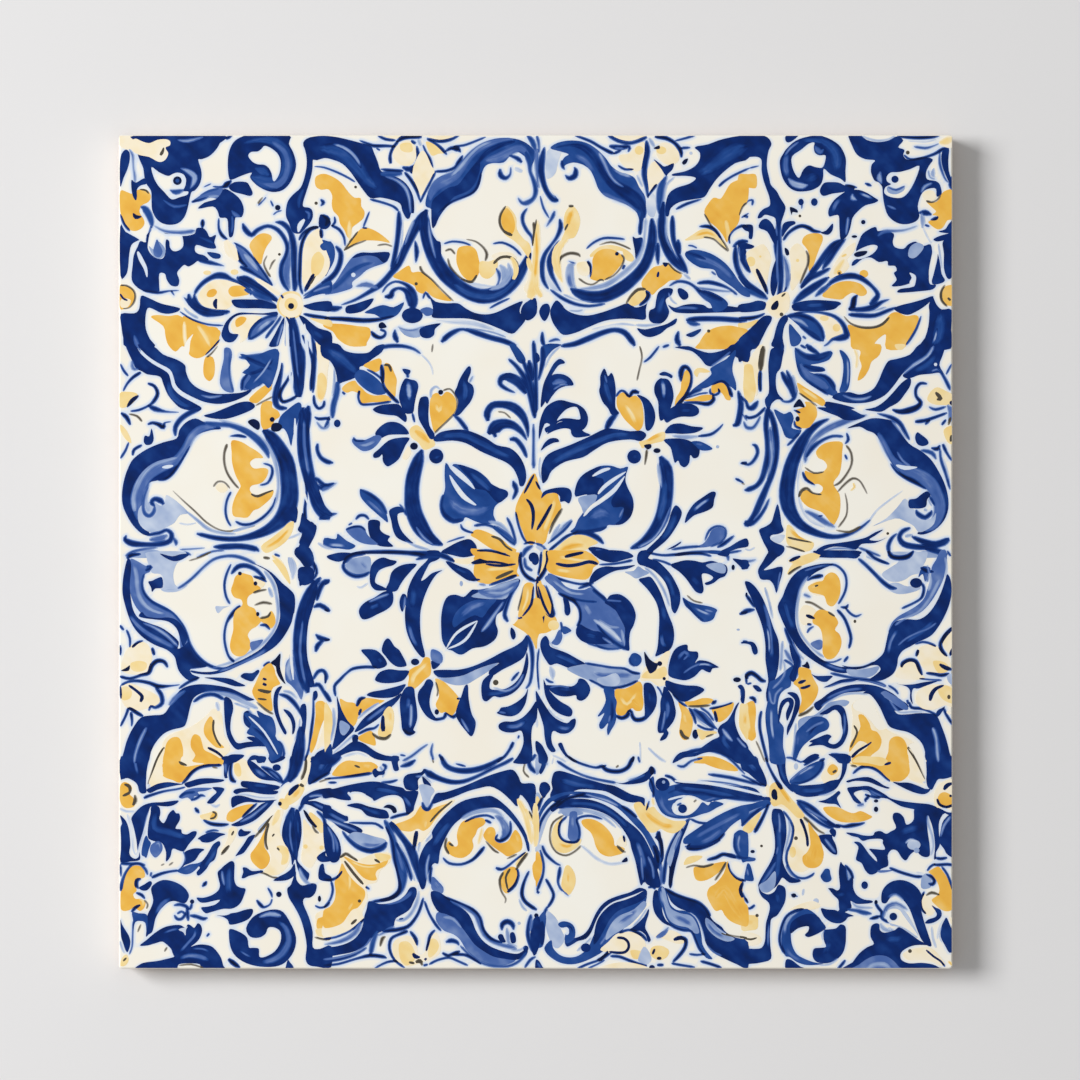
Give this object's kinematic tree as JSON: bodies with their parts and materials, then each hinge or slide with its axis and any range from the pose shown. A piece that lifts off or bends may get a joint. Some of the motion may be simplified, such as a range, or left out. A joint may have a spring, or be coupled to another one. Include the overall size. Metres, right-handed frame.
{
  "type": "azulejo tile",
  "caption": "Square glazed ceramic wall tile with a blue and yellow painted floral ornament on its face and a keyed back for adhesive.",
  "frame": {"origin": "middle of the back's resting plane, under the centre of the tile", "axes": "+Z out through the glazed face, +Y to the top of the painted design, +X to its right"},
  "size_m": [0.15, 0.15, 0.007],
  "materials": {
    "tin_glaze": "cream tin glaze, painted in cobalt blue and yellow and fired glossy"
  },
  "bodies": {
    "root": {"tile": "tin_glaze"}
  },
  "joints": []
}
